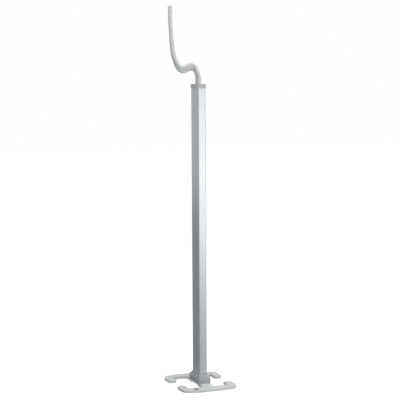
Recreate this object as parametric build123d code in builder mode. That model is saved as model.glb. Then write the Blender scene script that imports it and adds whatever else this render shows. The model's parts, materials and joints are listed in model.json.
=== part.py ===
"""Free-standing two-compartment service pole with two flexible conduits, a plinth cover and two feet.

Millimetres. +Z is up, the floor is z = 0 and the origin is under the middle of the column.
X runs across the column's narrow side and Y along its wide side; the front is at -Y.
"""

import os
from math import pi, radians, tan

from build123d import *

os.makedirs("parts", exist_ok=True)

# Column and its snap-in covers
COLUMN_WIDTH = 56.0
COLUMN_DEPTH = 140.0
WALL = 2.5
MOUTH_WIDTH = 45.6
COVER_WIDTH = 45.0
COVER_THICK = 1.8
COVER_LEG = 10.0
COVER_LEG_THICK = 1.5
COVER_LEG_X = 20.0
GROOVE_DEPTH = 0.5
GROOVE_WIDTH = 1.2
GROOVE_INSET = 7.0
CORNER_RADIUS = 4.0

# Centre web, crimped between two ribs on each side wall
RIB_THICK = 1.8
PORT_X = 18.0
PORT_Y = 5.5
PORT_RADIUS = 4.5
RAIL_THICK = 1.5
RAIL_HIGH = 8.0
RAIL_GAP = 0.1
RAIL_TOP = 2120.0

# Levels above the floor
FOOT_BOTTOM = 3.0
FOOT_TOP = 22.0
PLATE_THICK = 8.0
PLINTH_GAP = 0.3
PLINTH_LEDGE = 58.0
PLINTH_SHOULDER = 67.5
PLINTH_WAIST = 77.0
PLINTH_TOP = 88.0
COVER_BOTTOM = PLINTH_TOP + 1.0
CAP_TOP = 2150.0
CAP_PLATE = 3.0
CAP_SKIRT = 28.0
COVER_TOP = CAP_TOP - CAP_SKIRT - 1.0
COLUMN_TOP = CAP_TOP - CAP_PLATE - 0.3
CONDUIT_START = 2180.0
CONDUIT_END = 2648.0
CONDUIT_TOP = 2690.0

# Base plate and plinth cover
PLATE_WIDTH = 86.0
PLATE_DEPTH = 192.0
PLATE_CORNER = 3.0
PLINTH_WIDTH = 88.0
PLINTH_DEPTH = 201.0
PLINTH_WALL = 3.0
PLINTH_STEP = 1.2
PLINTH_CORNER = 4.0
FLARE_CORNER = 3.0
SHOULDER_REACH = 0.84
WAIST_REACH = 0.28
COLLAR_GAP = 0.5
COLLAR_WALL = 1.5

# Feet, seen from above
FOOT_HALF_SPAN = 206.0
ARM_INNER = 174.0
ARM_OUTER = 250.0
ARM_BOW = 25.0
HOOK_TIP = 77.0
HOOK_INNER = 148.0
TONGUE_HALF = 40.0
TONGUE_END = 62.0
HEEL_RADIUS = 62.0
TIP_OUTER_RADIUS = 24.0
TIP_INNER_RADIUS = 12.0
CROOK_RADIUS = 20.0
FOOT_EDGE = 3.0
FOOT_UNDEREDGE = 1.0
SEAT_GAP = 5.0
FIXING_X = 110.0
FIXING_Y = 214.0
FIXING_BORE = 13.0
FIXING_SINK = 38.0
FIXING_SINK_DEEP = 9.0

# Levelling glides
GLIDE_X = 172.0
GLIDE_Y = 200.0
GLIDE_RADIUS = 18.0
GLIDE_PAD = 7.0
GLIDE_TOP_EDGE = 1.5
GLIDE_UNDEREDGE = 0.8
GLIDE_SOCKET = 3.0
GLIDE_STUD_TOP = 18.0
STUD_RADIUS = 5.0
RECESS_RADIUS = 20.0
RECESS_TOP = 8.5
STUD_BORE_TOP = 19.0
RUNNING_FIT = 0.08

# Screws
FOOT_SCREW_X = 28.0
FOOT_SCREW_Y = 84.0
FOOT_SCREW_RADIUS = 4.0
FOOT_SCREW_HEAD = 7.5
FOOT_SCREW_PLAY = 0.2
COLUMN_SCREW_RADIUS = 2.6
COLUMN_SCREW_HEAD = 5.0
COLUMN_SCREW_HEAD_HIGH = 4.0
COLUMN_SCREW_LENGTH = 36.0
COLUMN_SCREW_PLAY = 0.3
COLUMN_SINK_DEEP = 4.2

# Conduits and their glands
CONDUIT_PITCH = 32.0
CONDUIT_OUTER = 14.0
CONDUIT_INNER = 10.5
FLANGE_RADIUS = 15.6
FLANGE_HIGH = 4.0
NECK_RADIUS = 13.5
NECK_HIGH = 6.0
FERRULE_RADIUS = 15.0
FERRULE_EDGE = 1.0
STUB_RADIUS = 12.5
STUB_LOW = 22.0
LOCKNUT_FLATS = 28.0
LOCKNUT_THICK = 6.0
CAP_HOLE = 12.7
BUSH_RADIUS = 14.3
BUSH_BORE = 9.0
BUSH_LIP = 1.5

# Cable clips and dividers inside the compartments
CLIP_LEVELS = (500.0, 1100.0, 1700.0)
CLIP_HIGH = 20.0
CLIP_Y = 56.0
CLIP_THICK = 2.0
CLIP_LEG = 8.0
DIVIDER_DEEP = 48.0
DIVIDER_THICK = 1.5
DIVIDER_BOTTOM = 120.0
DIVIDER_TOP = 2090.0

# Earth terminal on the web: x and z
EARTH = (8.9, 60.0)
EARTH_STUD_RADIUS = 2.5
EARTH_STUD_LENGTH = 18.0
EARTH_HEAD_HIGH = 3.0
EARTH_FLATS = 8.0
EARTH_WASHER = 1.6
EARTH_WASHER_RADIUS = 5.0
EARTH_NUT_HIGH = 4.0

# Top cap
CAP_OVERHANG = 2.5
CAP_GAP = 0.3
CAP_CORNER = 2.5
CAP_EDGE = 1.5
CAP_RIB_Y = 64.0
CAP_RIB_THICK = 2.5
CAP_RIB_DEEP = 12.0
CAP_RIB_PLAY = 0.5

INNER_HALF = COLUMN_WIDTH / 2 - WALL
LIP = (COLUMN_WIDTH - MOUTH_WIDTH) / 2


def keep(builder, name):
    """Label a finished piece and write it as one file."""
    builder.part.label = name
    export_step(builder.part, f"parts/{name}.step")


# ---------------------------------------------------------------- column
for name, side in (("left_side_profile", -1), ("right_side_profile", 1)):
    outer_x = side * COLUMN_WIDTH / 2
    with BuildPart() as side_profile:
        with BuildSketch(Plane.XY.offset(FOOT_TOP)):
            with Locations((outer_x - side * WALL / 2, 0)):
                Rectangle(WALL, COLUMN_DEPTH)
            # Lips beside the mouths, and the two ribs that grip the web
            lip_x = outer_x - side * LIP / 2
            lip_y = (COLUMN_DEPTH - WALL) / 2
            rib_y = (WALL + RIB_THICK) / 2
            with Locations((lip_x, -lip_y), (lip_x, lip_y)):
                Rectangle(LIP, WALL)
            with Locations((lip_x, -rib_y), (lip_x, rib_y)):
                Rectangle(LIP, RIB_THICK)
            groove_y = COLUMN_DEPTH / 2 - GROOVE_INSET
            with Locations((outer_x, -groove_y), (outer_x, groove_y)):
                Rectangle(2 * GROOVE_DEPTH, GROOVE_WIDTH, mode=Mode.SUBTRACT)
        extrude(amount=COLUMN_TOP - FOOT_TOP)
        corners = side_profile.edges().filter_by(Axis.Z).filter_by(
            lambda e: abs(abs(e.center().X) - COLUMN_WIDTH / 2) < 0.01
            and abs(abs(e.center().Y) - COLUMN_DEPTH / 2) < 0.01
        )
        fillet(corners, radius=CORNER_RADIUS)
    keep(side_profile, name)

with BuildPart() as centre_web:
    ports = [(x, y) for x in (-PORT_X, PORT_X) for y in (-PORT_Y, PORT_Y)]
    rail_x = DIVIDER_THICK / 2 + RAIL_GAP + RAIL_THICK / 2
    rail_y = WALL / 2 + RAIL_HIGH / 2
    with BuildSketch(Plane.XY.offset(FOOT_TOP)):
        Rectangle(2 * INNER_HALF, WALL)
        with Locations(*ports):
            Circle(PORT_RADIUS)
            Circle(COLUMN_SCREW_RADIUS, mode=Mode.SUBTRACT)
    extrude(amount=COLUMN_TOP - FOOT_TOP)
    # Rails that hold the dividers, milled away below the glands
    with BuildSketch(Plane.XY.offset(FOOT_TOP)):
        with Locations(*[(x, y) for x in (-rail_x, rail_x) for y in (-rail_y, rail_y)]):
            Rectangle(RAIL_THICK, RAIL_HIGH)
    extrude(amount=RAIL_TOP - FOOT_TOP)
    with Locations((EARTH[0], 0, EARTH[1])):
        Cylinder(EARTH_STUD_RADIUS, 2 * WALL, rotation=(90, 0, 0), mode=Mode.SUBTRACT)
keep(centre_web, "centre_web")

for name, side in (("front_cover", -1), ("rear_cover", 1)):
    with BuildPart() as cover:
        with BuildSketch(Plane.XY.offset(COVER_BOTTOM)):
            with Locations((0, side * (COLUMN_DEPTH / 2 - COVER_THICK / 2))):
                Rectangle(COVER_WIDTH, COVER_THICK)
            leg_y = side * (COLUMN_DEPTH / 2 - COVER_LEG / 2)
            with Locations((-COVER_LEG_X, leg_y), (COVER_LEG_X, leg_y)):
                Rectangle(COVER_LEG_THICK, COVER_LEG)
        extrude(amount=COVER_TOP - COVER_BOTTOM)
    keep(cover, name)

for name, side in (("front_divider", -1), ("rear_divider", 1)):
    with BuildPart() as divider:
        with BuildSketch(Plane.XY.offset(DIVIDER_BOTTOM)):
            with Locations((0, side * (WALL / 2 + DIVIDER_DEEP / 2))):
                Rectangle(DIVIDER_THICK, DIVIDER_DEEP)
        extrude(amount=DIVIDER_TOP - DIVIDER_BOTTOM)
    keep(divider, name)

for name, side in (("front_cable_clips", -1), ("rear_cable_clips", 1)):
    with BuildPart() as clips:
        for level in CLIP_LEVELS:
            with BuildSketch(Plane.XY.offset(level)):
                with Locations((0, side * CLIP_Y)):
                    Rectangle(2 * INNER_HALF, CLIP_THICK)
                leg_x = INNER_HALF - CLIP_THICK / 2
                leg_y = side * (CLIP_Y + CLIP_THICK / 2 - CLIP_LEG / 2)
                with Locations((-leg_x, leg_y), (leg_x, leg_y)):
                    Rectangle(CLIP_THICK, CLIP_LEG)
            extrude(amount=CLIP_HIGH)
    keep(clips, name)

# ---------------------------------------------------------------- earth terminal on the web
with BuildPart() as earth_stud:
    with BuildSketch(Plane.XZ.offset(-WALL / 2)):
        with Locations(EARTH):
            Circle(EARTH_STUD_RADIUS)
    extrude(amount=EARTH_STUD_LENGTH)
    with BuildSketch(Plane.XZ.offset(-WALL / 2 - EARTH_HEAD_HIGH)):
        with Locations(EARTH):
            RegularPolygon(EARTH_FLATS / 2, 6, major_radius=False, rotation=30)
    extrude(amount=EARTH_HEAD_HIGH)
keep(earth_stud, "earth_stud")

with BuildPart() as earth_washer:
    with BuildSketch(Plane.XZ.offset(WALL / 2)):
        with Locations(EARTH):
            Circle(EARTH_WASHER_RADIUS)
            Circle(EARTH_STUD_RADIUS, mode=Mode.SUBTRACT)
    extrude(amount=EARTH_WASHER)
keep(earth_washer, "earth_washer")

with BuildPart() as earth_nut:
    with BuildSketch(Plane.XZ.offset(WALL / 2 + EARTH_WASHER)):
        with Locations(EARTH):
            RegularPolygon(EARTH_FLATS / 2, 6, major_radius=False, rotation=30)
            Circle(EARTH_STUD_RADIUS, mode=Mode.SUBTRACT)
    extrude(amount=EARTH_NUT_HIGH)
keep(earth_nut, "earth_nut")

# ---------------------------------------------------------------- base
PLATE_BOTTOM = FOOT_TOP - PLATE_THICK
foot_screw_places = [
    (x, side * FOOT_SCREW_Y) for side in (-1, 1) for x in (-FOOT_SCREW_X, 0, FOOT_SCREW_X)
]

with BuildPart() as base_plate:
    with BuildSketch(Plane.XY.offset(PLATE_BOTTOM)):
        Rectangle(PLATE_WIDTH, PLATE_DEPTH)
    extrude(amount=PLATE_THICK)
    fillet(base_plate.edges().filter_by(Axis.Z), radius=PLATE_CORNER)
    with Locations(*[(x, y, FOOT_TOP) for x, y in foot_screw_places]):
        CounterSinkHole(FOOT_SCREW_RADIUS + FOOT_SCREW_PLAY, FOOT_SCREW_HEAD + FOOT_SCREW_PLAY)
    for x, y in ports:
        with Locations(Location((x, y, PLATE_BOTTOM), (180, 0, 0))):
            CounterBoreHole(
                COLUMN_SCREW_RADIUS + COLUMN_SCREW_PLAY,
                COLUMN_SCREW_HEAD + COLUMN_SCREW_PLAY,
                COLUMN_SINK_DEEP,
            )
keep(base_plate, "base_plate")

with BuildPart() as foot_screws:
    with Locations(*[(x, y, FOOT_TOP) for x, y in foot_screw_places]):
        Cone(
            FOOT_SCREW_RADIUS,
            FOOT_SCREW_HEAD,
            FOOT_SCREW_HEAD - FOOT_SCREW_RADIUS,
            align=(Align.CENTER, Align.CENTER, Align.MAX),
        )
        Cylinder(
            FOOT_SCREW_RADIUS,
            FOOT_TOP - FOOT_BOTTOM - 1,
            align=(Align.CENTER, Align.CENTER, Align.MAX),
        )
keep(foot_screws, "foot_screws")

with BuildPart() as column_screws:
    head_bottom = PLATE_BOTTOM + COLUMN_SINK_DEEP - COLUMN_SCREW_HEAD_HIGH
    standing = (Align.CENTER, Align.CENTER, Align.MIN)
    with Locations(*[(x, y, head_bottom) for x, y in ports]):
        Cylinder(COLUMN_SCREW_HEAD, COLUMN_SCREW_HEAD_HIGH, align=standing)
        Cylinder(COLUMN_SCREW_RADIUS, COLUMN_SCREW_LENGTH, align=standing)
keep(column_screws, "column_screws")

with BuildPart() as front_foot:
    with BuildSketch(Plane.XY.offset(FOOT_BOTTOM)) as foot_outline:
        with BuildLine():
            ThreePointArc(
                (-FOOT_HALF_SPAN, ARM_BOW - ARM_OUTER),
                (0, -ARM_OUTER),
                (FOOT_HALF_SPAN, ARM_BOW - ARM_OUTER),
            )
            Polyline(
                (FOOT_HALF_SPAN, ARM_BOW - ARM_OUTER),
                (FOOT_HALF_SPAN, -HOOK_TIP),
                (HOOK_INNER, -HOOK_TIP),
                (HOOK_INNER, -ARM_INNER),
                (TONGUE_HALF, -ARM_INNER),
                (TONGUE_HALF, -TONGUE_END),
                (-TONGUE_HALF, -TONGUE_END),
                (-TONGUE_HALF, -ARM_INNER),
                (-HOOK_INNER, -ARM_INNER),
                (-HOOK_INNER, -HOOK_TIP),
                (-FOOT_HALF_SPAN, -HOOK_TIP),
                (-FOOT_HALF_SPAN, ARM_BOW - ARM_OUTER),
            )
        make_face()
        for x, y, corner in (
            (FOOT_HALF_SPAN, ARM_OUTER - ARM_BOW, HEEL_RADIUS),
            (FOOT_HALF_SPAN, HOOK_TIP, TIP_OUTER_RADIUS),
            (HOOK_INNER, HOOK_TIP, TIP_INNER_RADIUS),
            (HOOK_INNER, ARM_INNER, CROOK_RADIUS),
            (TONGUE_HALF, ARM_INNER, CROOK_RADIUS),
        ):
            pair = foot_outline.vertices().filter_by(
                lambda v, x=x, y=y: abs(abs(v.X) - x) < 0.1 and abs(v.Y + y) < 0.1
            )
            fillet(pair, radius=corner)
    extrude(amount=FOOT_TOP - FOOT_BOTTOM)
    fillet(front_foot.faces().sort_by(Axis.Z)[-1].edges(), radius=FOOT_EDGE)
    chamfer(front_foot.faces().sort_by(Axis.Z)[0].edges(), length=FOOT_UNDEREDGE)
    # Seat milled into the tongue for the base plate
    with Locations((0, -PLATE_DEPTH / 4, PLATE_BOTTOM)):
        Box(
            2 * (TONGUE_HALF + SEAT_GAP),
            PLATE_DEPTH / 2,
            PLATE_THICK + 1,
            align=(Align.CENTER, Align.CENTER, Align.MIN),
            mode=Mode.SUBTRACT,
        )
    with Locations(*[(x, -FOOT_SCREW_Y) for x in (-FOOT_SCREW_X, 0, FOOT_SCREW_X)]):
        Cylinder(FOOT_SCREW_RADIUS, 3 * FOOT_TOP, mode=Mode.SUBTRACT)
    with Locations(*[(x, -GLIDE_Y, 0) for x in (-GLIDE_X, GLIDE_X)]):
        Cylinder(
            RECESS_RADIUS,
            RECESS_TOP,
            align=(Align.CENTER, Align.CENTER, Align.MIN),
            mode=Mode.SUBTRACT,
        )
        Cylinder(
            STUD_RADIUS + RUNNING_FIT,
            STUD_BORE_TOP,
            align=(Align.CENTER, Align.CENTER, Align.MIN),
            mode=Mode.SUBTRACT,
        )
    with Locations((-FIXING_X, -FIXING_Y, FOOT_TOP)):
        CounterBoreHole(FIXING_BORE / 2, FIXING_SINK / 2, FIXING_SINK_DEEP)
keep(front_foot, "front_foot")

with BuildPart() as rear_foot:
    add(front_foot.part.rotate(Axis.Z, 180))
keep(rear_foot, "rear_foot")

for corner, x_side, y_side in (
    ("front_left", -1, -1),
    ("front_right", 1, -1),
    ("rear_left", -1, 1),
    ("rear_right", 1, 1),
):
    place = (x_side * GLIDE_X, y_side * GLIDE_Y)
    with BuildPart() as glide_pad:
        with BuildSketch():
            with Locations(place):
                Circle(GLIDE_RADIUS)
        extrude(amount=GLIDE_PAD)
        chamfer(glide_pad.edges().sort_by(Axis.Z)[-1], length=GLIDE_TOP_EDGE)
        chamfer(glide_pad.edges().sort_by(Axis.Z)[0], length=GLIDE_UNDEREDGE)
        with BuildSketch(Plane.XY.offset(GLIDE_SOCKET)):
            with Locations(place):
                Circle(STUD_RADIUS)
        extrude(amount=GLIDE_PAD, mode=Mode.SUBTRACT)
    keep(glide_pad, f"glide_pad_{corner}")
    with BuildPart() as glide_stud:
        with BuildSketch(Plane.XY.offset(GLIDE_SOCKET)):
            with Locations(place):
                Circle(STUD_RADIUS)
        extrude(amount=GLIDE_STUD_TOP - GLIDE_SOCKET)
        chamfer(glide_stud.edges().sort_by(Axis.Z)[-1], length=1)
    keep(glide_stud, f"glide_stud_{corner}")

# ---------------------------------------------------------------- plinth cover
collar_width = COLUMN_WIDTH + 2 * COLLAR_GAP
collar_depth = COLUMN_DEPTH + 2 * COLLAR_GAP
# The flare in four sections: height, half width and half depth
flare = (
    (PLINTH_LEDGE, PLINTH_WIDTH / 2 - PLINTH_STEP, PLINTH_DEPTH / 2 - PLINTH_STEP),
    (
        PLINTH_SHOULDER,
        (COLUMN_WIDTH + SHOULDER_REACH * (PLINTH_WIDTH - COLUMN_WIDTH)) / 2,
        (COLUMN_DEPTH + SHOULDER_REACH * (PLINTH_DEPTH - COLUMN_DEPTH)) / 2,
    ),
    (
        PLINTH_WAIST,
        (COLUMN_WIDTH + WAIST_REACH * (PLINTH_WIDTH - COLUMN_WIDTH)) / 2,
        (COLUMN_DEPTH + WAIST_REACH * (PLINTH_DEPTH - COLUMN_DEPTH)) / 2,
    ),
    (PLINTH_TOP, collar_width / 2 + COLLAR_WALL, collar_depth / 2 + COLLAR_WALL),
)
with BuildPart() as plinth_cover:
    with BuildSketch(Plane.XY.offset(FOOT_TOP + PLINTH_GAP)):
        RectangleRounded(PLINTH_WIDTH, PLINTH_DEPTH, PLINTH_CORNER)
    extrude(amount=PLINTH_LEDGE - FOOT_TOP - PLINTH_GAP)
    for lower, upper in zip(flare, flare[1:]):
        for level, half_width, half_depth in (lower, upper):
            with BuildSketch(Plane.XY.offset(level)):
                RectangleRounded(2 * half_width, 2 * half_depth, FLARE_CORNER)
        loft(ruled=True)
    with BuildSketch(Plane.XY.offset(FOOT_TOP)):
        Rectangle(PLINTH_WIDTH - 2 * PLINTH_WALL, PLINTH_DEPTH - 2 * PLINTH_WALL)
    extrude(amount=PLINTH_LEDGE - FOOT_TOP - PLINTH_WALL, mode=Mode.SUBTRACT)
    hollow = [
        (level - PLINTH_WALL, half_width - PLINTH_WALL, half_depth - PLINTH_WALL)
        for level, half_width, half_depth in flare
    ]
    for lower, upper in zip(hollow, hollow[1:]):
        for level, half_width, half_depth in (lower, upper):
            with BuildSketch(Plane.XY.offset(level)):
                Rectangle(2 * half_width, 2 * half_depth)
        loft(ruled=True, mode=Mode.SUBTRACT)
    with BuildSketch(Plane.XY.offset(FOOT_TOP)):
        Rectangle(collar_width, collar_depth)
    extrude(amount=PLINTH_TOP, mode=Mode.SUBTRACT)
keep(plinth_cover, "plinth_cover")

# ---------------------------------------------------------------- top cap and glands
gland_places = (("front", -CONDUIT_PITCH / 2), ("rear", CONDUIT_PITCH / 2))

with BuildPart() as top_cap:
    with BuildSketch(Plane.XY.offset(CAP_TOP - CAP_SKIRT)):
        RectangleRounded(
            COLUMN_WIDTH + 2 * CAP_OVERHANG, COLUMN_DEPTH + 2 * CAP_OVERHANG, CAP_CORNER
        )
    extrude(amount=CAP_SKIRT)
    fillet(top_cap.faces().sort_by(Axis.Z)[-1].edges(), radius=CAP_EDGE)
    with BuildSketch(Plane.XY.offset(CAP_TOP - CAP_SKIRT)):
        Rectangle(COLUMN_WIDTH + 2 * CAP_GAP, COLUMN_DEPTH + 2 * CAP_GAP)
    extrude(amount=CAP_SKIRT - CAP_PLATE, mode=Mode.SUBTRACT)
    # Locating ribs that drop into the two compartments
    with BuildSketch(Plane.XY.offset(CAP_TOP - CAP_PLATE - CAP_RIB_DEEP)):
        with Locations((0, -CAP_RIB_Y), (0, CAP_RIB_Y)):
            Rectangle(2 * (INNER_HALF - CAP_RIB_PLAY), CAP_RIB_THICK)
    extrude(amount=CAP_RIB_DEEP)
    for name, y in gland_places:
        with Locations((0, y, CAP_TOP)):
            Hole(CAP_HOLE)
keep(top_cap, "top_cap")

GLAND_TOP = CAP_TOP + FLANGE_HIGH + NECK_HIGH
for name, y in gland_places:
    with BuildPart() as gland:
        with BuildSketch(Plane.XY.offset(CAP_TOP - STUB_LOW)):
            with Locations((0, y)):
                Circle(STUB_RADIUS)
        extrude(amount=STUB_LOW)
        with BuildSketch(Plane.XY.offset(CAP_TOP)):
            with Locations((0, y)):
                Circle(FLANGE_RADIUS)
        extrude(amount=FLANGE_HIGH)
        with BuildSketch(Plane.XY.offset(CAP_TOP + FLANGE_HIGH)):
            with Locations((0, y)):
                Circle(NECK_RADIUS)
        extrude(amount=NECK_HIGH)
        with Locations((0, y, GLAND_TOP)):
            Hole(CONDUIT_INNER)
    keep(gland, f"{name}_gland")

    with BuildPart() as ferrule:
        with BuildSketch(Plane.XY.offset(CAP_TOP + FLANGE_HIGH)):
            with Locations((0, y)):
                Circle(FERRULE_RADIUS)
                Circle(NECK_RADIUS, mode=Mode.SUBTRACT)
        extrude(amount=NECK_HIGH)
        with BuildSketch(Plane.XY.offset(GLAND_TOP)):
            with Locations((0, y)):
                Circle(FERRULE_RADIUS)
                Circle(CONDUIT_INNER, mode=Mode.SUBTRACT)
        extrude(amount=CONDUIT_START - GLAND_TOP)
        rim = ferrule.edges().filter_by(GeomType.CIRCLE).filter_by(
            lambda e: abs(e.radius - FERRULE_RADIUS) < 0.01
        )
        chamfer(rim, length=FERRULE_EDGE)
    keep(ferrule, f"{name}_ferrule")

    with BuildPart() as locknut:
        with BuildSketch(Plane.XY.offset(CAP_TOP - CAP_PLATE - LOCKNUT_THICK)):
            with Locations((0, y)):
                RegularPolygon(LOCKNUT_FLATS / 2, 6, major_radius=False)
                Circle(STUB_RADIUS, mode=Mode.SUBTRACT)
        extrude(amount=LOCKNUT_THICK)
    keep(locknut, f"{name}_locknut")

# ---------------------------------------------------------------- conduits
# Each route lies in an upright plane; its points are (x, z) from the ferrule to the end bush.
routes = {
    "front": [
        (0, 2180), (0, 2197), (-6, 2222), (-13, 2244), (-25, 2268), (-42, 2284),
        (-64, 2287), (-86, 2276), (-108, 2267), (-129, 2265), (-148, 2275), (-163, 2295),
        (-174, 2318), (-184, 2346), (-192, 2382), (-199, 2430), (-206, 2500), (-211, 2580),
        (-211, 2648),
    ],
    "rear": [
        (0, 2180), (0, 2197), (-4, 2218), (-13, 2240), (-30, 2255), (-51, 2257),
        (-71, 2250), (-92, 2241), (-112, 2238), (-131, 2245), (-146, 2259), (-158, 2278),
        (-167, 2302), (-176, 2330), (-184, 2362), (-189, 2402), (-194, 2455), (-198, 2520),
        (-202, 2590), (-202, 2648),
    ],
}


def bend_radii(points):
    """The arc at each corner: 0.45 of its shorter run over the tangent of half the turn."""
    radii = []
    for before, here, after in zip(points, points[1:], points[2:]):
        turn = (here - before).get_angle(after - here)
        shorter = min((here - before).length, (after - here).length)
        radii.append(0.45 * shorter / tan(radians(turn) / 2))
    return radii


for name, y in gland_places:
    points = [Vector(x, y, z) for x, z in routes[name]]
    radii = bend_radii(points)
    with BuildPart() as conduit:
        with BuildLine() as path:
            FilletPolyline(*points, radius=radii)
        with BuildSketch(Plane.XY.offset(CONDUIT_START)):
            with Locations((0, y)):
                Circle(CONDUIT_OUTER)
                Circle(CONDUIT_INNER, mode=Mode.SUBTRACT)
        sweep(transition=Transition.RIGHT)
    keep(conduit, f"{name}_conduit")
    run = sum(e.length for e in path.edges())
    section = pi * (CONDUIT_OUTER**2 - CONDUIT_INNER**2)
    print(name, "radii", [round(r) for r in radii])
    print(name, "length", round(run, 1), "volume ratio", round(conduit.part.volume / section / run, 4))

    end_x = routes[name][-1][0]
    with BuildPart() as end_bush:
        with BuildSketch(Plane.XY.offset(CONDUIT_END)):
            with Locations((end_x, y)):
                Circle(BUSH_RADIUS)
                Circle(BUSH_BORE, mode=Mode.SUBTRACT)
        extrude(amount=CONDUIT_TOP - CONDUIT_END)
        fillet(end_bush.faces().sort_by(Axis.Z)[-1].edges(), radius=BUSH_LIP)
    keep(end_bush, f"{name}_end_bush")
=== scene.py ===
"""Looks of the free-standing service pole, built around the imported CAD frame. Metres, +Z up, front at -Y."""

import json
from math import cos, pi, radians, sin

import bpy
from mathutils import Matrix, Vector


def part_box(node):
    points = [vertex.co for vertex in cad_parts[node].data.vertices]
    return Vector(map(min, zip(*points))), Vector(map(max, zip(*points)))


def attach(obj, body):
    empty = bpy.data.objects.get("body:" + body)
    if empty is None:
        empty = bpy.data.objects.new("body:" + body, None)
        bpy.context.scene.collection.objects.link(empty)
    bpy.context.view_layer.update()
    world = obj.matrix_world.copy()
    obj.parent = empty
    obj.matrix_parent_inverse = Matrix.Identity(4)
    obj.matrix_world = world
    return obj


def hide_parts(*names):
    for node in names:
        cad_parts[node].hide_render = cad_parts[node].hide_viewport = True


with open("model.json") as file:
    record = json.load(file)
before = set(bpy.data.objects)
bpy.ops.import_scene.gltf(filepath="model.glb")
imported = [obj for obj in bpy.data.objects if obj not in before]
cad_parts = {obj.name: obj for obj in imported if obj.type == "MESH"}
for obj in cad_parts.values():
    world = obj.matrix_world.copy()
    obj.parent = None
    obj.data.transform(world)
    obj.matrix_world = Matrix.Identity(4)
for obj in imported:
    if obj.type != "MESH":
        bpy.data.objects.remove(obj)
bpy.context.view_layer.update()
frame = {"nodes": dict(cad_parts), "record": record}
nodes = frame["nodes"]
scene = bpy.context.scene
SIDES = ("front", "rear")

# ---------------------------------------------------------------- camera
CAMERA_PLACE = Vector((-3.055, -7.96, 2.171))
CAMERA_AZIMUTH = -21.05  # degrees round the column from the front, towards its -X side
CAMERA_TILT = 5.634  # degrees below level
CAMERA_ROLL = -0.30  # degrees
CAMERA_LENS = 108.6  # millimetres


def make_camera():
    """A camera some eight metres off and above head height, tilted down to take in feet and conduits."""
    turn, tilt, roll = radians(CAMERA_AZIMUTH), radians(CAMERA_TILT), radians(CAMERA_ROLL)
    back = Vector((sin(turn) * cos(tilt), -cos(turn) * cos(tilt), sin(tilt)))
    right = Vector((cos(turn), sin(turn), 0.0))
    up = back.cross(right)
    side = right * cos(roll) + up * sin(roll)
    top = up * cos(roll) - right * sin(roll)
    pose = Matrix((side, top, back)).transposed().to_4x4()
    pose.translation = CAMERA_PLACE
    lens = bpy.data.cameras.new("view_camera")
    lens.lens = CAMERA_LENS
    lens.clip_end = 100.0
    camera = bpy.data.objects.new("view_camera", lens)
    camera.matrix_world = pose
    scene.collection.objects.link(camera)
    scene.camera = camera


make_camera()

# ---------------------------------------------------------------- new pieces
new_pieces = []  # (piece, material slot)


def loops_mesh(name, loops):
    """A closed skin through loops of points, with the last loop joined to the first."""
    count = len(loops[0])
    points = [point for loop in loops for point in loop]
    faces = []
    for first in range(len(loops)):
        second = (first + 1) % len(loops)
        for k in range(count):
            n = (k + 1) % count
            faces.append((first * count + k, first * count + n, second * count + n, second * count + k))
    mesh = bpy.data.meshes.new(name)
    mesh.from_pydata(points, [], faces)
    mesh.update()
    for polygon in mesh.polygons:
        polygon.use_smooth = True
    return mesh


def stand_in(name, loops, body, node, slot):
    """A piece skinned from loops that rides on a body in place of a CAD node."""
    piece = bpy.data.objects.new(name, loops_mesh(name, loops))
    scene.collection.objects.link(piece)
    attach(piece, body)
    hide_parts(node)
    new_pieces.append((piece, slot))
    return piece


# ---------------------------------------------------------------- conduits
CONDUIT_DIAMETER = 0.028
CONDUIT_WALL = 0.0035
CONDUIT_PITCH = 0.0074  # from rib to rib
CONDUIT_GROOVE = 0.0018  # depth of the groove between two ribs
RIB_PROFILE = (1.0, 1.0, 0.93, 0.25, 0.0, 0.55)  # even steps over one pitch: 1 on the crest, 0 in the groove
TUBE_SIDES = 40
SPLINE_RESOLUTION = 24
MM = 0.001

# Routes as in the CAD: (x, z) in millimetres from the ferrule to the end bush.
ROUTES = {
    "front": [
        (0, 2180), (0, 2197), (-6, 2222), (-13, 2244), (-25, 2268), (-42, 2284),
        (-64, 2287), (-86, 2276), (-108, 2267), (-129, 2265), (-148, 2275), (-163, 2295),
        (-174, 2318), (-184, 2346), (-192, 2382), (-199, 2430), (-206, 2500), (-211, 2580),
        (-211, 2648),
    ],
    "rear": [
        (0, 2180), (0, 2197), (-4, 2218), (-13, 2240), (-30, 2255), (-51, 2257),
        (-71, 2250), (-92, 2241), (-112, 2238), (-131, 2245), (-146, 2259), (-158, 2278),
        (-167, 2302), (-176, 2330), (-184, 2362), (-189, 2402), (-194, 2455), (-198, 2520),
        (-202, 2590), (-202, 2648),
    ],
}


def smooth_line(name, points):
    """Close points on the NURBS spline whose control points are the route's points."""
    curve = bpy.data.curves.new(name, "CURVE")
    curve.dimensions = "3D"
    spline = curve.splines.new("NURBS")
    spline.points.add(len(points) - 1)
    for control, point in zip(spline.points, points):
        control.co = (*point, 1.0)
    spline.order_u = 3
    spline.use_endpoint_u = True
    spline.resolution_u = SPLINE_RESOLUTION
    holder = bpy.data.objects.new(name, curve)
    scene.collection.objects.link(holder)
    bpy.context.view_layer.update()
    mesh = bpy.data.meshes.new_from_object(holder.evaluated_get(bpy.context.evaluated_depsgraph_get()))
    line = [vertex.co.copy() for vertex in mesh.vertices]
    bpy.data.objects.remove(holder)
    bpy.data.curves.remove(curve)
    bpy.data.meshes.remove(mesh)
    return line


def at_even_steps(line, step):
    """Evenly spaced points along the line, about step apart, with the line's own ends kept."""
    lengths = [0.0]
    for before, here in zip(line, line[1:]):
        lengths.append(lengths[-1] + (here - before).length)
    count = max(2, round(lengths[-1] / step))
    found, at = [], 0
    for i in range(count + 1):
        wanted = lengths[-1] * i / count
        while at < len(line) - 2 and lengths[at + 1] < wanted:
            at += 1
        span = lengths[at + 1] - lengths[at]
        found.append(line[at].lerp(line[at + 1], (wanted - lengths[at]) / span))
    return found


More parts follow.
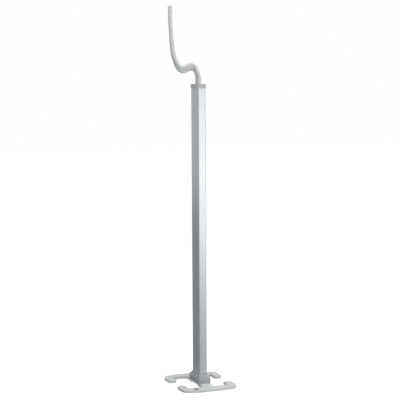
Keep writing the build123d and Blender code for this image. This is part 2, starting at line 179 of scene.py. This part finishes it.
def rings_along(line, radii):
    """A ring of points across the line at each of its points, carried along without twist."""
    rings = []
    last = len(line) - 1
    axis = (line[1] - line[0]).normalized()
    across = axis.orthogonal().normalized()
    for i, (here, radius) in enumerate(zip(line, radii)):
        ahead = (line[min(i + 1, last)] - line[max(i - 1, 0)]).normalized()
        across.rotate(axis.rotation_difference(ahead))
        axis = ahead
        beside = axis.cross(across)
        ring = []
        for k in range(TUBE_SIDES):
            angle = 2 * pi * k / TUBE_SIDES
            ring.append(here + (across * cos(angle) + beside * sin(angle)) * radius)
        rings.append(ring)
    return rings


def conduit_skin(side):
    """One corrugated conduit: a hollow tube with rounded ribs and narrow grooves along its route."""
    low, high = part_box(f"{side}_ferrule")
    y = (low.y + high.y) / 2
    route = [Vector((x * MM, y, z * MM)) for x, z in ROUTES[side]]
    path = at_even_steps(smooth_line(f"{side}_route", route), CONDUIT_PITCH / len(RIB_PROFILE))
    crest = CONDUIT_DIAMETER / 2
    radii = [crest - CONDUIT_GROOVE * (1 - RIB_PROFILE[i % len(RIB_PROFILE)]) for i in range(len(path))]
    bore = [crest - CONDUIT_WALL] * len(path)
    loops = rings_along(path, radii) + rings_along(path, bore)[::-1]
    skin = stand_in(f"{side}_conduit_skin", loops, "cap", f"{side}_conduit", "conduit_plastic")


for side in SIDES:
    conduit_skin(side)

# ---------------------------------------------------------------- plinth shell
plinth_low, plinth_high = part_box("plinth_cover")
column_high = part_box("right_side_profile")[1]


def larger(half, by):
    """A half width and half depth, both grown by the same amount."""
    return tuple(size + by for size in half)


COLUMN_HALF = (column_high.x, column_high.y)
HOLE_HALF = larger(COLUMN_HALF, 0.0006)
COLLAR_HALF = larger(COLUMN_HALF, 0.0020)  # the flare's top
SKIRT_HALF = (plinth_high.x, plinth_high.y)
FLARE_HALF = larger(SKIRT_HALF, -0.0012)  # the flare's foot, a ledge's width inside the skirt
PLINTH_TOP = plinth_high.z
PLINTH_LEDGE = 0.058  # height of the small ledge between skirt and flare
SHELL_WALL = 0.0024
SKIRT_CORNER = 0.0040
COLLAR_CORNER = 0.0015
FLARE_CORNER_GAIN = 0.0020  # how much more the flare's corners are rounded at the ledge
LIP_CORNER = 0.0012
LIP_ROUNDING = 0.0004  # how far the collar's top edge is rounded in
INNER_CORNER = 0.0006
SKIRT_INNER_CORNER = 0.0010
SKIRT_INNER_TOP = PLINTH_LEDGE - SHELL_WALL - 0.001
POINTS_PER_CORNER = 10
FLARE_STEPS = 4  # points for each span of the flare's outline

# Rounded edges: how far in from the skirt's face, and how far from the rim or the ledge.
RIM_ROUNDING = ((0.0010, 0.0), (0.0003, 0.0003), (0.0, 0.0010))
LEDGE_ROUNDING = ((0.0, 0.0012), (0.0001, 0.0007), (0.0005, 0.0002), (0.0010, 0.0001))

# The flare from ledge to collar, an S with a soft lip: how far out it stands (1 at the ledge) and its height.
FLARE_CONTROL = (
    (1.0, PLINTH_LEDGE), (1.0, 0.0635), (0.99, 0.0665), (0.93, 0.0678), (0.72, 0.0690), (0.46, 0.0722),
    (0.25, 0.0772), (0.10, 0.0828), (0.03, 0.0862), (0.0, PLINTH_TOP - 0.0003),
)


def rounded_loop(half, corner, level):
    """A level rounded rectangle round the column's axis, from its half width and half depth."""
    loop = []
    for quarter, (sx, sy) in enumerate(((1, 1), (-1, 1), (-1, -1), (1, -1))):
        for k in range(POINTS_PER_CORNER + 1):
            angle = (quarter + k / POINTS_PER_CORNER) * pi / 2
            x = sx * (half[0] - corner) + corner * cos(angle)
            y = sy * (half[1] - corner) + corner * sin(angle)
            loop.append((x, y, level))
    return loop


def flare_outline():
    """The flare's control points smoothed into a quadratic B-spline that keeps both ends."""
    outline = [FLARE_CONTROL[0]]
    for before, here, after in zip(FLARE_CONTROL, FLARE_CONTROL[1:], FLARE_CONTROL[2:]):
        start = [(a + b) / 2 for a, b in zip(before, here)]
        end = [(a + b) / 2 for a, b in zip(here, after)]
        for k in range(FLARE_STEPS):
            t = k / FLARE_STEPS
            span = zip(start, here, end)
            outline.append([(1 - t) ** 2 * a + 2 * t * (1 - t) * b + t * t * c for a, b, c in span])
    outline.append(FLARE_CONTROL[-1])
    return outline


def flare_half(out):
    """The flare's half width and half depth where it stands this far out from the collar."""
    return [collar + out * (flare - collar) for collar, flare in zip(COLLAR_HALF, FLARE_HALF)]


def plinth_shell():
    """The moulded plinth: rounded rim, skirt, a small ledge, a soft shoulder and the collar at the column."""
    outline = flare_outline()
    loops = []
    for inward, above in RIM_ROUNDING:
        loops.append(rounded_loop(larger(SKIRT_HALF, -inward), SKIRT_CORNER, plinth_low.z + above))
    for inward, below in LEDGE_ROUNDING:
        loops.append(rounded_loop(larger(SKIRT_HALF, -inward), SKIRT_CORNER, PLINTH_LEDGE - below))
    for out, level in outline:
        loops.append(rounded_loop(flare_half(out), COLLAR_CORNER + FLARE_CORNER_GAIN * out, level))
    loops.append(rounded_loop(larger(COLLAR_HALF, -LIP_ROUNDING), LIP_CORNER, PLINTH_TOP))
    loops.append(rounded_loop(HOLE_HALF, INNER_CORNER, PLINTH_TOP))
    for out, level in reversed(outline[:-1]):
        inside = [max(hole, size - SHELL_WALL) for hole, size in zip(HOLE_HALF, flare_half(out))]
        loops.append(rounded_loop(inside, INNER_CORNER, level - SHELL_WALL))
    for level in (SKIRT_INNER_TOP, plinth_low.z):
        loops.append(rounded_loop(larger(SKIRT_HALF, -SHELL_WALL), SKIRT_INNER_CORNER, level))
    stand_in("plinth_shell", loops, "plinth", "plinth_cover", "grey_moulded")


plinth_shell()

# ---------------------------------------------------------------- ferrules
FERRULE_BORE = 0.0136  # radius
FLUTES = 36
POINTS_PER_FLUTE = 6

# From bottom to top: share of the height, how much less than the full radius, and how deep the flutes are.
FERRULE_RINGS = (
    (0.0, 0.0012, 0.0), (0.03, 0.0002, 0.0), (0.10, 0.0, 0.0), (0.13, 0.0005, 0.0),
    (0.16, 0.0003, 0.0007), (0.22, 0.0, 0.0008), (0.40, 0.0, 0.0008), (0.58, 0.0, 0.0008),
    (0.62, 0.0003, 0.0007), (0.65, 0.0009, 0.0), (0.70, 0.0009, 0.0), (0.73, 0.0002, 0.0),
    (0.76, 0.0, 0.0), (0.92, 0.0, 0.0), (0.98, 0.0004, 0.0), (1.0, 0.0010, 0.0),
)


def level_ring(y, level, radii):
    """A level ring round an upright axis at x = 0, with a radius for each of its points."""
    turn = 2 * pi / len(radii)
    return [(radius * cos(turn * k), y + radius * sin(turn * k), level) for k, radius in enumerate(radii)]


def knurled_ferrule(side):
    """A clamping ferrule: chamfered ends, a fluted grip and a plain groove near the top."""
    low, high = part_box(f"{side}_ferrule")
    y = (low.y + high.y) / 2
    full_radius = (high.x - low.x) / 2
    dips = [0.5 - 0.5 * cos(2 * pi * k / POINTS_PER_FLUTE) for k in range(POINTS_PER_FLUTE)] * FLUTES
    loops = []
    for share, less, deep in FERRULE_RINGS:
        level = low.z + share * (high.z - low.z)
        loops.append(level_ring(y, level, [full_radius - less - deep * dip for dip in dips]))
    for level in (high.z, low.z):
        loops.append(level_ring(y, level, [FERRULE_BORE] * len(dips)))
    stand_in(f"{side}_ferrule_grip", loops, "cap", f"{side}_ferrule", "bright_metal")


for side in SIDES:
    knurled_ferrule(side)

# ---------------------------------------------------------------- materials
FIXINGS = [mount["pos_m"] for mount in frame["record"]["mounts"] if mount["name"].endswith("floor_fixing")]
FIXING_SINK_RADIUS = 0.0192
FIXING_SHADE_FADE = 0.0003  # from the painted shade to the coat round the counterbore
FOOT_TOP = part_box("front_foot")[1].z
# The painted shade in the counterbores is full below the first level and gone above the second.
SHADE_BELOW, SHADE_CLEAR_ABOVE = FOOT_TOP - 0.0008, FOOT_TOP - 0.0004
BEVEL_SAMPLES = 6


class Finish:
    """A node material: a Principled shader with small helpers to feed it."""

    def __init__(self, name, metallic=0.0, **uniform):
        self.material = bpy.data.materials.new(name)
        self.material.use_nodes = True
        self.tree = self.material.node_tree
        self.shader = self.tree.nodes["Principled BSDF"]
        self.shader.inputs["Metallic"].default_value = metallic
        for socket, value in uniform.items():
            self.shader.inputs[socket.replace("_", " ")].default_value = value
        self.where = self.node("ShaderNodeTexCoord").outputs["Object"]

    def node(self, kind, **settings):
        """A new node with its settings."""
        made = self.tree.nodes.new(kind)
        for key, value in settings.items():
            setattr(made, key, value)
        return made

    def link(self, output, socket):
        """Feed an output to a socket."""
        self.tree.links.new(output, socket)

    def noise(self, scale, detail, stretch=(1, 1, 1), rough=0.55):
        """Noise in object space; an axis with a stretch under 1 runs long, one over 1 runs short."""
        place = self.node("ShaderNodeMapping")
        place.inputs["Scale"].default_value = stretch
        self.link(self.where, place.inputs["Vector"])
        made = self.node("ShaderNodeTexNoise")
        made.inputs["Scale"].default_value = scale
        made.inputs["Detail"].default_value = detail
        made.inputs["Roughness"].default_value = rough
        self.link(place.outputs["Vector"], made.inputs["Vector"])
        return made.outputs["Fac"]

    def ranged(self, value, low, high, start=0.3, end=0.7):
        """A value that runs from start to end, spread over low to high."""
        made = self.node("ShaderNodeMapRange")
        for key, number in (("From Min", start), ("From Max", end), ("To Min", low), ("To Max", high)):
            made.inputs[key].default_value = number
        self.link(value, made.inputs["Value"])
        return made.outputs["Result"]

    def mix(self, share, first, second):
        """A colour between two colours, each a tuple or another output."""
        made = self.node("ShaderNodeMix", data_type="RGBA")
        factor, colour_a, colour_b, mixed = made.inputs[0], made.inputs[6], made.inputs[7], made.outputs[2]
        for colour, socket in ((first, colour_a), (second, colour_b)):
            if isinstance(colour, tuple):
                socket.default_value = (*colour, 1.0)
            else:
                self.link(colour, socket)
        self.link(share, factor)
        return mixed

    def near_axis(self, x, y, radius):
        """1 within radius of an upright axis and below the feet's top face, 0 elsewhere."""
        flat = self.node("ShaderNodeVectorMath", operation="MULTIPLY")
        flat.inputs[1].default_value = (1.0, 1.0, 0.0)
        self.link(self.where, flat.inputs[0])
        apart = self.node("ShaderNodeVectorMath", operation="DISTANCE")
        apart.inputs[1].default_value = (x, y, 0.0)
        self.link(flat.outputs[0], apart.inputs[0])
        close = self.ranged(apart.outputs["Value"], 1.0, 0.0, start=radius, end=radius + FIXING_SHADE_FADE)
        level = self.node("ShaderNodeSeparateXYZ")
        self.link(self.where, level.inputs[0])
        low = self.ranged(level.outputs["Z"], 1.0, 0.0, start=SHADE_BELOW, end=SHADE_CLEAR_ABOVE)
        both = self.node("ShaderNodeMath", operation="MULTIPLY")
        self.link(close, both.inputs[0])
        self.link(low, both.inputs[1])
        return both.outputs[0]

    def edges(self, radius):
        """1 on convex and concave edges, 0 on faces."""
        shape = self.node("ShaderNodeNewGeometry")
        dot = self.node("ShaderNodeVectorMath", operation="DOT_PRODUCT")
        self.link(self.rounded(radius), dot.inputs[0])
        self.link(shape.outputs["True Normal"], dot.inputs[1])
        return self.ranged(dot.outputs["Value"], 1.0, 0.0, start=0.82, end=0.99)

    def bump(self, height, distance, strength, after=None):
        """A normal that follows a height, on top of another normal if one is given."""
        made = self.node("ShaderNodeBump")
        made.inputs["Strength"].default_value = strength
        made.inputs["Distance"].default_value = distance
        self.link(height, made.inputs["Height"])
        if after is not None:
            self.link(after, made.inputs["Normal"])
        return made.outputs["Normal"]

    def rounded(self, radius):
        """A normal that rounds sharp edges by radius."""
        bevel = self.node("ShaderNodeBevel", samples=BEVEL_SAMPLES)
        bevel.inputs["Radius"].default_value = radius
        return bevel.outputs["Normal"]

    def feed(self, colour, roughness, normal):
        """Connect the shader and return the finished material."""
        for output, socket in ((colour, "Base Color"), (roughness, "Roughness"), (normal, "Normal")):
            self.link(output, self.shader.inputs[socket])
        return self.material


def anodised_aluminium():
    """Satin anodised extrusion: fine drawing lines along the length, faint cloudiness and painted shade along
    its edges and creases.
    """
    finish = Finish("anodised_aluminium", metallic=0.9)
    lines = finish.noise(900.0, stretch=(1, 1, 0.004), detail=3.0)
    cloud = finish.noise(2.4, stretch=(1, 1, 0.4), detail=3.0)
    base = finish.mix(finish.ranged(lines, 0, 1), (0.61, 0.635, 0.655), (0.69, 0.71, 0.725))
    base = finish.mix(finish.ranged(cloud, 0, 0.35), base, (0.56, 0.58, 0.6))
    # Painted shade darkening the extrusion's edges and creases.
    base = finish.mix(finish.edges(0.0008), base, (0.5, 0.52, 0.54))
    rough = finish.ranged(lines, 0.38, 0.5)
    normal = finish.bump(lines, 0.00002, 0.5, after=finish.rounded(0.0006))
    return finish.feed(base, rough, normal)


def moulded_plastic(name, dark, light, worn, edge_highlight=None):
    """Injection-moulded plastic: spark-eroded grain, slight tone drift and paler rubbed edges, or a painted
    highlight along the edges where an edge colour is given.
    """
    finish = Finish(name)
    edge_radius = 0.0012
    cloud = finish.noise(9.0, detail=4.0)
    grain = finish.noise(1400.0, detail=2.0)
    rub = finish.noise(35.0, detail=5.0)
    base = finish.mix(finish.ranged(cloud, 0, 1), dark, light)
    base = finish.mix(finish.ranged(grain, 0, 0.25), base, worn)
    # Edges take the given edge colour as a painted highlight, or else the worn colour of rubbed edges.
    base = finish.mix(finish.edges(edge_radius), base, edge_highlight or worn)
    rough = finish.ranged(rub, 0.48, 0.62)
    normal = finish.bump(grain, 0.00008, 0.6, after=finish.rounded(edge_radius))
    return finish.feed(base, rough, normal)


def powder_coat():
    """Light grey powder coat with orange peel, scuffs and rubbed edges; the counterbores are darkened with
    painted shade.
    """
    finish = Finish("powder_coat", Coat_Weight=0.15, Coat_Roughness=0.35)
    cloud = finish.noise(6.0, detail=5.0)
    peel = finish.noise(520.0, detail=2.5, rough=0.4)
    scuff = finish.noise(70.0, stretch=(1, 5, 1), detail=6.0, rough=0.65)
    base = finish.mix(finish.ranged(cloud, 0, 1), (0.66, 0.675, 0.68), (0.74, 0.75, 0.75))
    base = finish.mix(finish.ranged(scuff, 0, 0.3, start=0.6, end=0.75), base, (0.47, 0.475, 0.48))
    base = finish.mix(finish.edges(0.002), base, (0.74, 0.745, 0.75))
    # Painted shade in each fixing's counterbore, where the recess lies in shadow.
    for x, y, _ in FIXINGS:
        base = finish.mix(finish.near_axis(x, y, FIXING_SINK_RADIUS), base, (0.26, 0.265, 0.27))
    rough = finish.ranged(scuff, 0.42, 0.6)
    normal = finish.bump(peel, 0.0002, 0.5, after=finish.rounded(0.0015))
    return finish.feed(base, rough, normal)


def bright_metal(name, colour, worn, rough, stretch=(1, 1, 1)):
    """Plated metal with fine turning marks and a little tarnish in patches."""
    finish = Finish(name, metallic=1.0)
    turning = finish.noise(1600.0, stretch=stretch, detail=2.0)
    tarnish = finish.noise(60.0, detail=5.0)
    base = finish.mix(finish.ranged(tarnish, 0, 0.6), colour, worn)
    base = finish.mix(finish.edges(0.0005), base, tuple(min(1.0, channel * 1.12) for channel in colour))
    roughness = finish.ranged(tarnish, *rough)
    normal = finish.bump(turning, 0.00002, 0.5, after=finish.rounded(0.0004))
    return finish.feed(base, roughness, normal)


def rubber():
    """Black rubber with a dusty bloom."""
    finish = Finish("glide_rubber")
    dust = finish.noise(120.0, detail=6.0)
    base = finish.mix(finish.ranged(dust, 0, 1), (0.018, 0.018, 0.019), (0.07, 0.068, 0.066))
    rough = finish.ranged(dust, 0.6, 0.85)
    normal = finish.bump(dust, 0.0003, 0.4, after=finish.rounded(0.0006))
    return finish.feed(base, rough, normal)


def conduit_plastic():
    """Corrugated conduit: slightly glossy crests and painted shade in the grooves."""
    finish = Finish("conduit_plastic")
    cloud = finish.noise(14.0, detail=4.0)
    speck = finish.noise(900.0, detail=2.0)
    base = finish.mix(finish.ranged(cloud, 0, 1), (0.69, 0.705, 0.715), (0.79, 0.8, 0.805))
    # Painted shade: the grooves and the ribs' edges are darkened.
    base = finish.mix(finish.edges(0.0008), base, (0.5, 0.51, 0.52))
    rough = finish.ranged(speck, 0.36, 0.5)
    normal = finish.bump(speck, 0.00005, 0.4)
    return finish.feed(base, rough, normal)


MATERIALS = {
    "anodised_aluminium": anodised_aluminium(),
    "grey_moulded": moulded_plastic(
        "grey_moulded",
        dark=(0.315, 0.33, 0.343),
        light=(0.40, 0.415, 0.426),
        worn=(0.54, 0.55, 0.555),
        # A painted highlight along the plinth's rim, ledge and collar.
        edge_highlight=(0.72, 0.73, 0.735),
    ),
    "cap_moulded": moulded_plastic(
        "cap_moulded", dark=(0.455, 0.465, 0.48), light=(0.555, 0.565, 0.575), worn=(0.66, 0.67, 0.675)
    ),
    "foot_coat": powder_coat(),
    "conduit_plastic": conduit_plastic(),
    "bright_metal": bright_metal(
        "bright_metal", (0.84, 0.85, 0.86), (0.66, 0.67, 0.68), rough=(0.28, 0.42), stretch=(1, 1, 8)
    ),
    "zinc_steel": bright_metal("zinc_steel", (0.66, 0.68, 0.7), (0.42, 0.43, 0.44), rough=(0.25, 0.45)),
    "glide_rubber": rubber(),
    "clip_plastic": moulded_plastic(
        "clip_plastic", dark=(0.7, 0.7, 0.67), light=(0.78, 0.78, 0.75), worn=(0.82, 0.82, 0.8)
    ),
    "earth_brass": bright_metal("earth_brass", (0.75, 0.56, 0.26), (0.4, 0.28, 0.13), rough=(0.2, 0.4)),
}


def dress(thing, slot):
    """Give a thing the material of a slot, in place of whatever it had."""
    thing.data.materials.clear()
    thing.data.materials.append(MATERIALS[slot])


for entry in frame["record"]["subparts"]:
    dress(nodes[entry["node"]], entry["material_slot"])
for piece, slot in new_pieces:
    dress(piece, slot)


# ---------------------------------------------------------------- floor, world and lights
FLOOR_HALF = 30.0
FLOOR_GLOW = 0.56  # makes up what the lights leave short of white


def make_floor():
    """A pale floor that shows white with soft contact shadows, and neither lights nor mirrors the object."""
    mesh = bpy.data.meshes.new("floor")
    corners = [(-1, -1), (1, -1), (1, 1), (-1, 1)]
    mesh.from_pydata([(x * FLOOR_HALF, y * FLOOR_HALF, 0.0) for x, y in corners], [], [(0, 1, 2, 3)])
    floor = bpy.data.objects.new("floor", mesh)
    scene.collection.objects.link(floor)
    material = bpy.data.materials.new("floor")
    material.use_nodes = True
    tree = material.node_tree
    shader = tree.nodes["Principled BSDF"]
    shader.inputs["Base Color"].default_value = (0.8, 0.8, 0.8, 1.0)
    shader.inputs["Roughness"].default_value = 0.9
    shader.inputs["Specular IOR Level"].default_value = 0.0
    shader.inputs["Emission Color"].default_value = (1.0, 1.0, 1.0, 1.0)
    shader.inputs["Emission Strength"].default_value = FLOOR_GLOW
    mesh.materials.append(material)
    floor.visible_diffuse = False
    floor.visible_glossy = False


def make_world():
    """A pale studio: white to look at, with a dimmer light that is stronger from above and from the front."""
    world = bpy.data.worlds.new("studio")
    world.use_nodes = True
    tree = world.node_tree
    tree.nodes.clear()
    link = tree.links.new
    way = tree.nodes.new("ShaderNodeTexCoord").outputs["Generated"]
    parts = tree.nodes.new("ShaderNodeSeparateXYZ")
    link(way, parts.inputs[0])
    shares = []
    for axis, low, high in (("Z", 0.05, 0.55), ("Y", 0.3, 0.0)):
        ranged = tree.nodes.new("ShaderNodeMapRange")
        ranged.inputs["From Min"].default_value = -1.0
        ranged.inputs["To Min"].default_value = low
        ranged.inputs["To Max"].default_value = high
        link(parts.outputs[axis], ranged.inputs["Value"])
        shares.append(ranged.outputs["Result"])
    total = tree.nodes.new("ShaderNodeMath")
    for share, socket in zip(shares, total.inputs):
        link(share, socket)
    light = tree.nodes.new("ShaderNodeBackground")
    light.inputs["Color"].default_value = (0.97, 0.985, 1.0, 1.0)
    link(total.outputs[0], light.inputs["Strength"])
    seen = tree.nodes.new("ShaderNodeBackground")
    seen.inputs["Color"].default_value = (1.0, 1.0, 1.0, 1.0)
    mixed = tree.nodes.new("ShaderNodeMixShader")
    link(tree.nodes.new("ShaderNodeLightPath").outputs["Is Camera Ray"], mixed.inputs[0])
    link(light.outputs[0], mixed.inputs[1])
    link(seen.outputs[0], mixed.inputs[2])
    link(mixed.outputs[0], tree.nodes.new("ShaderNodeOutputWorld").inputs["Surface"])
    scene.world = world


def area_light(name, place, aim, size, power, colour=(1.0, 1.0, 1.0)):
    """A rectangular softbox at place, pointed at aim."""
    data = bpy.data.lights.new(name, "AREA")
    data.shape = "RECTANGLE"
    data.size, data.size_y = size
    data.energy = power
    data.color = colour
    light = bpy.data.objects.new(name, data)
    light.location = place
    light.rotation_mode = "QUATERNION"
    light.rotation_quaternion = (Vector(aim) - Vector(place)).to_track_quat("-Z", "Y")
    scene.collection.objects.link(light)
    return light


make_floor()
make_world()
area_light("key", (0.9, -2.3, 1.42), (0, 0, 1.5), (2.4, 1.7), 19.5, colour=(1.0, 0.985, 0.965))
area_light("back", (-1.0, 2.3, 1.95), (0, 0, 1.95), (1.0, 1.7), 3.0)
# The fill lightens matt surfaces and the shadows, without a reflection of its own in the metal.
fill = area_light("fill", (-2.6, -1.2, 1.9), (0, 0, 1.6), (1.5, 2.5), 7.0)
fill.visible_glossy = False
area_light("overhead", (0.5, -0.5, 5.0), (0, 0, 0), (4.0, 4.0), 60.0)

scene.view_settings.view_transform = "Standard"
scene.view_settings.look = "None"
